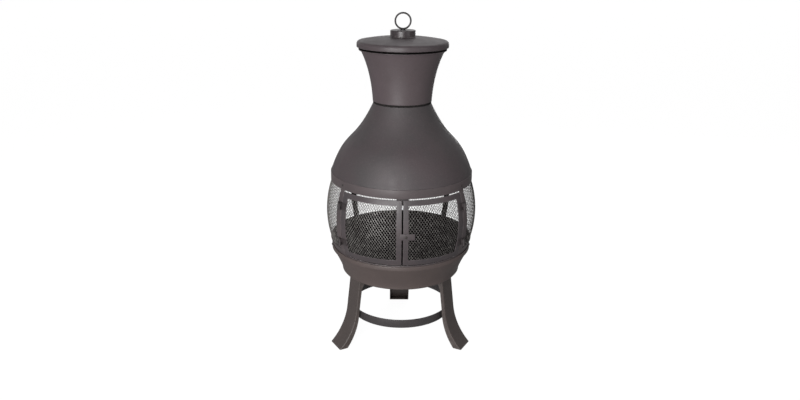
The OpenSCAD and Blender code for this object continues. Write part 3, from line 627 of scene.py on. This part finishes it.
def door(side, body):
    word = "right" if side > 0 else "left"
    a0, a1 = DOOR_GAP_AZ + MEETING_STILE, DOOR_AZ - HINGE_STILE
    h0, h1 = door_low.z + BOTTOM_RAIL, door_high.z - TOP_RAIL
    azimuths = steps_between(DOOR_GAP_AZ, a0, a1, DOOR_AZ, step=1.0)
    heights = steps_between(door_low.z, h0, h1, door_high.z, step=5.0)

    def solid(i, j):
        a, h = (azimuths[i] + azimuths[i + 1]) / 2, (heights[j] + heights[j + 1]) / 2
        return not (a0 < a < a1 and h0 < h < h1)

    bm = bmesh.new()
    add_panel(bm, azimuths, heights, solid, 0, BAND_T)
    if side < 0:
        for vert in bm.verts:
            vert.co.x = -vert.co.x
    piece = finish_piece(word + "_door_surround", bm, [door_coat, soot_and_shade], body, replaces=[word + "_door_frame"],
                         slot="frame_paint", pick=faces_axis)
    round_edges(piece, 0.9)
    m0, m1 = DOOR_GAP_AZ + 0.6, DOOR_AZ - 0.6
    expanded(word + "_door_expanded", min(side * m0, side * m1), max(side * m0, side * m1),
             door_mesh_low.z, door_mesh_high.z, body, word + "_door_mesh")


door(1, "right_door")
door(-1, "left_door")

# ---------- turn button ----------

button_low, button_high = box_mm("turn_button")
latch_az = DOOR_GAP_AZ + MEETING_STILE / 2
latch_z = (button_low.z + button_high.z) / 2
latch_r = BULGE_R + BAND_T + 0.9
turned = Matrix.Rotation(math.radians(latch_az), 4, "Z")


def on_button(co):
    """Button coordinates are: along the plate, out from the flue, and up."""
    return turned @ Vector((co.x, -(latch_r + co.y), latch_z + co.z))


bm = bmesh.new()
TAIL, LENGTH, WIDTH = 19.0, 47.0, 20.0
add_bevelled_box(bm, (-TAIL, 0.0, -WIDTH / 2), (LENGTH, BAND_T, WIDTH), on_button, 0.9)
finish_piece("turn_button_plate", bm, [door_coat], "turn_button", replaces=["turn_button"], slot="frame_paint")

# ---------- fire bowl ----------

bowl_z, bowl_rim_r, bowl_rim_z = bowl_low.z, bowl_high.x, bowl_high.z
BOWL_FLAT_R, BOWL_CORNER, BOWL_WALL_R = 192.0, 9.0, 201.0
HEM_H = 14.5
BOWL_SOOT_AND_SHADE_Z = 0.32               # metres: upward faces under this are inside the bowl and take the near-black coat of sooting and painted shade
hem_z = bowl_rim_z - HEM_H
wall = bezier([(BOWL_WALL_R, bowl_z + 6), (BOWL_WALL_R, 270.0), (bowl_rim_r - 3, hem_z)], 36)
bowl = (
    [(0.0, bowl_z)] + arc(BOWL_FLAT_R, bowl_z + BOWL_CORNER, BOWL_CORNER, -90, -20, 8) + wall
    + bezier([(bowl_rim_r - 3, hem_z), (bowl_rim_r, hem_z), (bowl_rim_r, hem_z + 2.5)], 4)[1:]
    + arc(bowl_rim_r - 2, bowl_rim_z - 2, 2.0, 0, 180, 10)
    + [(bowl_rim_r - 4, hem_z + 1)]
    + shifted(wall, -SHEET_T)[::-1]
    + arc(BOWL_FLAT_R, bowl_z + BOWL_CORNER, BOWL_CORNER - SHEET_T, -20, -90, 8) + [(0.0, bowl_z + SHEET_T)]
)
# The bowl's inner faces and floor take the near-black coat of sooting and painted shade.
lathe("bowl_shell", bowl, [bowl_coat, soot_and_shade], "firebox", edge=0, replaces=["fire_bowl"], slot="bowl_paint",
      pick=lambda c, n: 1 if faces_axis(c, n) or (n.z > 0.5 and c.z < BOWL_SOOT_AND_SHADE_Z) else 0)

# ---------- fire grate ----------

bm = bmesh.new()
GRATE_R, GRATE_Z, BAR_R, PITCH = 150.0, 272.0, 4.0, 34.0
CROSS_Y = 96.0                   # the two cross bars lie this far from the axis
add_tube(bm, [(GRATE_R * math.cos(a), GRATE_R * math.sin(a), GRATE_Z)
              for a in (2 * math.pi * k / 120 for k in range(120))], BAR_R, 14, closed=True)
for i in range(-4, 5):
    half = math.sqrt(GRATE_R ** 2 - (i * PITCH) ** 2) - 1
    add_tube(bm, [(i * PITCH, -half, GRATE_Z + 0.4), (i * PITCH, half, GRATE_Z + 0.4)], BAR_R - 0.4, 14)
for side in (-1, 1):
    half = math.sqrt(GRATE_R ** 2 - CROSS_Y ** 2) - 1
    add_tube(bm, [(-half, side * CROSS_Y, GRATE_Z - 1), (half, side * CROSS_Y, GRATE_Z - 1)], BAR_R - 0.8, 14)
    for foot in (-1, 1):
        x = foot * 2 * PITCH
        add_tube(bm, [(x, side * CROSS_Y, bowl_z + SHEET_T + 2), (x, side * CROSS_Y, GRATE_Z)], BAR_R - 0.6, 14)
finish_piece("wood_grate", bm, [grate_iron_and_shade_coat], "firebox", replaces=["fire_grate"], slot="grate_iron")

# ---------- legs ----------

LEG_W, LEG_T = 72.0, 2.5
FOOT_R = rear_leg_high.y
KNEE_R, KNEE_Z, LEAN = 192.0, 125.0, 7.0
DEPTH_TOP, DEPTH_FOOT = 12.0, 21.0
TAB_R, TAB_DEPTH, CORNER_R, WEDGE_Z = 118.0, 8.0, 12.0, 196.0
lean = math.radians(LEAN)
chord = math.hypot(FOOT_R - KNEE_R, KNEE_Z)
bend = 2 * (math.atan2(FOOT_R - KNEE_R, KNEE_Z) - lean)
bend_r = chord / 2 / math.sin(bend / 2)
bend_c = Vector((KNEE_R + bend_r * math.cos(lean), KNEE_Z + bend_r * math.sin(lean)))


def on_bend(depth, t):
    """Point on the bend: t is 0 at the knee and 1 on the floor, depth is in from the outer face."""
    r = bend_r + depth
    floor_angle = math.asin(bend_c.y / (bend_r + DEPTH_FOOT if depth else bend_r))
    a = lean + (floor_angle - lean) * t
    return bend_c - Vector((r * math.cos(a), r * math.sin(a)))


def leg_stations():
    """Pairs of points down a leg: on the outer face and on the free edge of the side walls."""
    outer, inner = [], []
    straight = Vector((-math.sin(lean), math.cos(lean)))
    inward = Vector((-math.cos(lean), -math.sin(lean)))
    for k in range(25):
        t = 1 - k / 24
        outer.append(on_bend(0.0, t))
        inner.append(on_bend(DEPTH_TOP + (DEPTH_FOOT - DEPTH_TOP) * t, t))
    knee = Vector((KNEE_R, KNEE_Z))
    rise = (WEDGE_Z - KNEE_Z) / math.cos(lean)
    for k in range(1, 13):
        at = knee + straight * rise * k / 12
        outer.append(at)
        inner.append(at + inward * DEPTH_TOP)
    corner_z = bowl_z - CORNER_R
    top = knee + straight * (corner_z - KNEE_Z) / math.cos(lean)
    centre = Vector((top.x - CORNER_R, corner_z))
    shoulder = [outer[-1].lerp(top, k / 5) for k in range(1, 6)]
    shoulder += [Vector(p) for p in arc(centre.x, centre.y, CORNER_R, LEAN, 90, 9)[1:]]
    under = inner[-1]
    wedge = bezier([under, (under.x - 5, bowl_z - TAB_DEPTH), (under.x - 38, bowl_z - TAB_DEPTH)],
                   len(shoulder))
    outer += shoulder
    inner += [Vector(p) for p in wedge[1:]]
    out_end, in_end = outer[-1], inner[-1]
    for k in range(1, 9):
        outer.append(out_end.lerp(Vector((TAB_R, bowl_z)), k / 8))
        inner.append(in_end.lerp(Vector((TAB_R, bowl_z - TAB_DEPTH)), k / 8))
    return list(zip(outer, inner))


def leg_section(depth):
    """Half-round-cornered channel: (across, down into the channel) for the outer and inner skins."""
    half, out_r, in_r = LEG_W / 2, 4.2, 2.0
    outer = [(-half, depth)]
    outer += [(-half + out_r - out_r * math.cos(math.radians(a)), out_r - out_r * math.sin(math.radians(a)))
              for a in range(0, 91, 15)]
    outer += [(x, 0.0) for x in (-half * 0.5, 0.0, half * 0.5)]
    outer += [(-x, d) for x, d in reversed(outer[:8])]
    inside = half - LEG_T
    inner = [(-inside, depth)]
    inner += [(-inside + in_r - in_r * math.cos(math.radians(a)),
               LEG_T + in_r - in_r * math.sin(math.radians(a)))
              for a in range(0, 91, 15)]
    inner += [(x, LEG_T) for x in (-inside * 0.5, 0.0, inside * 0.5)]
    inner += [(-x, d) for x, d in reversed(inner[:8])]
    return outer, inner


def leg(name, az, stands_for):
    a = math.radians(az)
    along, across = Vector((math.sin(a), -math.cos(a))), Vector((math.cos(a), math.sin(a)))
    bm = bmesh.new()
    rings = []
    for out, free in leg_stations():
        into = free - out
        depth = into.length
        into.normalize()
        loops = []
        for skin in leg_section(depth):
            loop = []
            for x, d in skin:
                at = out + into * d
                flat = along * at.x + across * x
                loop.append(bm.verts.new((flat.x, flat.y, at.y)))
            loops.append(loop)
        rings.append(loops)
    n = len(rings[0][0])
    for one, two in zip(rings, rings[1:]):
        for s in (0, 1):
            for k in range(n - 1):
                bm.faces.new((one[s][k], one[s][k + 1], two[s][k + 1], two[s][k]))
        for k in (0, n - 1):
            bm.faces.new((one[0][k], one[1][k], two[1][k], two[0][k]))
    for loops in (rings[0], rings[-1]):
        for k in range(n - 1):
            bm.faces.new((loops[0][k], loops[0][k + 1], loops[1][k + 1], loops[1][k]))
    inner_r = on_bend(DEPTH_FOOT, 1.0).x

    def sole(co):
        flat = along * co.x + across * co.y
        return Vector((flat.x, flat.y, co.z))

    add_bevelled_box(bm, (inner_r + 0.3, -LEG_W / 2 + LEG_T, 0.0),
                     (FOOT_R - LEG_T - inner_r - 0.6, LEG_W - 2 * LEG_T, LEG_T), sole, 0.4)
    finish_piece(name, bm, [leg_coat], "firebox", replaces=[stands_for], slot="leg_paint", sharp=50)


leg("leg_channel_left", LEG_AZ[0], "leg_left")
leg("leg_channel_right", LEG_AZ[1], "leg_right")
leg("leg_channel_rear", LEG_AZ[2], "leg_rear")

# ---------- foot ring ----------

TIE_T = 3.0
tie_r = tie_high.x
lathe("foot_hoop", [(tie_r - TIE_T, tie_low.z), (tie_r, tie_low.z), (tie_r, tie_high.z),
                    (tie_r - TIE_T, tie_high.z)],
      [tie_coat], "firebox", edge=0.8, replaces=["foot_ring"], slot="leg_paint")

# ---------- materials on the frame's own pieces ----------

for names, material in (
    (("collar_screws", "hood_screws", "bowl_screws", "leg_bolts", "leg_nuts", "foot_ring_bolts",
      "foot_ring_nuts", "latch_stud", "hinge_pins_left", "hinge_pins_right", "lid_nut", "lid_washer"), bolt_coat),
    (("hinge_lugs_left", "hinge_lugs_right", "left_door_eyes", "right_door_eyes", "door_stop"), hinge_coat),
    (("foot_ring_spacers",), tie_coat),
    # The lid feet take the near-black coat: painted shade in the gap under the lid.
    (("lid_feet",), soot_and_shade),
):
    for name in names:
        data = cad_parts[name].data
        data.materials.clear()
        data.materials.append(material)

# ---------- floor, light and camera ----------


def plain_floor():
    material = bpy.data.materials.new("studio floor")
    material.use_nodes = True
    shader = material.node_tree.nodes["Principled BSDF"]
    shader.inputs["Base Color"].default_value = (0.10, 0.10, 0.10, 1)
    shader.inputs["Roughness"].default_value = 0.9
    shader.inputs["Specular IOR Level"].default_value = 0.1
    shader.inputs["Emission Color"].default_value = (1, 1, 1, 1)
    shader.inputs["Emission Strength"].default_value = 0.955
    bm = bmesh.new()
    bmesh.ops.create_circle(bm, cap_ends=True, segments=64, radius=60.0)
    mesh = bpy.data.meshes.new("studio_floor")
    bm.to_mesh(mesh)
    bm.free()
    mesh.materials.append(material)
    floor = bpy.data.objects.new("studio_floor", mesh)
    floor.location.z = -0.0004
    bpy.context.scene.collection.objects.link(floor)
    floor.visible_diffuse = False
    floor.visible_glossy = False


plain_floor()


def softbox(name, azimuth, distance, height, width, tall, watts, aim_z=0.6):
    light = bpy.data.lights.new(name, "AREA")
    light.shape = "RECTANGLE"
    light.size, light.size_y = width, tall
    light.energy = watts
    lamp = bpy.data.objects.new(name, light)
    a = math.radians(azimuth)
    lamp.location = (distance * math.sin(a), -distance * math.cos(a), height)
    lamp.rotation_mode = "QUATERNION"
    lamp.rotation_quaternion = (Vector((0, 0, aim_z)) - lamp.location).to_track_quat("-Z", "Y")
    lamp.visible_camera = False
    bpy.context.scene.collection.objects.link(lamp)


softbox("key", -20.0, 2.9, 1.15, 1.4, 2.0, 100.0)
softbox("fill", 48.0, 3.4, 1.3, 1.4, 2.0, 12.0)
softbox("top", 150.0, 1.6, 3.0, 2.0, 1.4, 12.0)
softbox("back", 172.0, 3.3, 0.55, 1.6, 0.9, 20.0)

world = bpy.data.worlds.new("studio")
world.use_nodes = True
bpy.context.scene.world = world
tree = world.node_tree
background = tree.nodes["Background"]
background.inputs["Color"].default_value = (1.0, 0.985, 0.99, 1)
direction = tree.nodes.new("ShaderNodeSeparateXYZ")
tree.links.new(tree.nodes.new("ShaderNodeTexCoord").outputs["Generated"], direction.inputs["Vector"])
AMBIENT, FROM_LEFT, FROM_ABOVE, FROM_BEHIND = 0.25, 0.04, -0.02, 0.55
lit = ranged(tree, direction.outputs["X"], -1, 1, AMBIENT + FROM_LEFT, AMBIENT - FROM_LEFT)
above = ranged(tree, direction.outputs["Z"], -1, 1, -FROM_ABOVE, FROM_ABOVE)
behind = ranged(tree, direction.outputs["Y"], 0.4, 0.95, 0.0, FROM_BEHIND)
level = ranged(tree, direction.outputs["Z"], -0.1, 0.02, 0.0, 1.0)
for part in (above, product(tree, behind, level)):
    total = tree.nodes.new("ShaderNodeMath")
    total.operation = "ADD"
    tree.links.new(lit, total.inputs[0])
    tree.links.new(part, total.inputs[1])
    lit = total.outputs["Value"]
tree.links.new(lit, background.inputs["Strength"])
bright = tree.nodes.new("ShaderNodeBackground")
bright.inputs["Color"].default_value = (1, 1, 1, 1)
bright.inputs["Strength"].default_value = 1.0
chooser = tree.nodes.new("ShaderNodeMixShader")
path = tree.nodes.new("ShaderNodeLightPath")
tree.links.new(path.outputs["Is Camera Ray"], chooser.inputs["Fac"])
tree.links.new(background.outputs["Background"], chooser.inputs[1])
tree.links.new(bright.outputs["Background"], chooser.inputs[2])
tree.links.new(chooser.outputs["Shader"], tree.nodes["World Output"].inputs["Surface"])

CAMERA_AZ, CAMERA_DISTANCE, CAMERA_HEIGHT = -1.1, 2.324, 1.281
CAMERA_PITCH, CAMERA_ROLL = 18.85, 0.6
camera_data = bpy.data.cameras.new("camera")
camera_data.sensor_width = 36.0
camera_data.lens = 32.58
camera_data.shift_x = -0.0015
camera = bpy.data.objects.new("camera", camera_data)
bpy.context.scene.collection.objects.link(camera)
a, p = math.radians(CAMERA_AZ), math.radians(CAMERA_PITCH)
forward = Vector((-math.sin(a) * math.cos(p), math.cos(a) * math.cos(p), -math.sin(p)))
level_facing = forward.to_track_quat("-Z", "Y").to_matrix().to_4x4()
facing = level_facing @ Matrix.Rotation(math.radians(CAMERA_ROLL), 4, "Z")
facing.translation = (CAMERA_DISTANCE * math.sin(a), -CAMERA_DISTANCE * math.cos(a), CAMERA_HEIGHT)
camera.matrix_world = facing
bpy.context.scene.camera = camera
bpy.context.scene.view_settings.view_transform = "Standard"
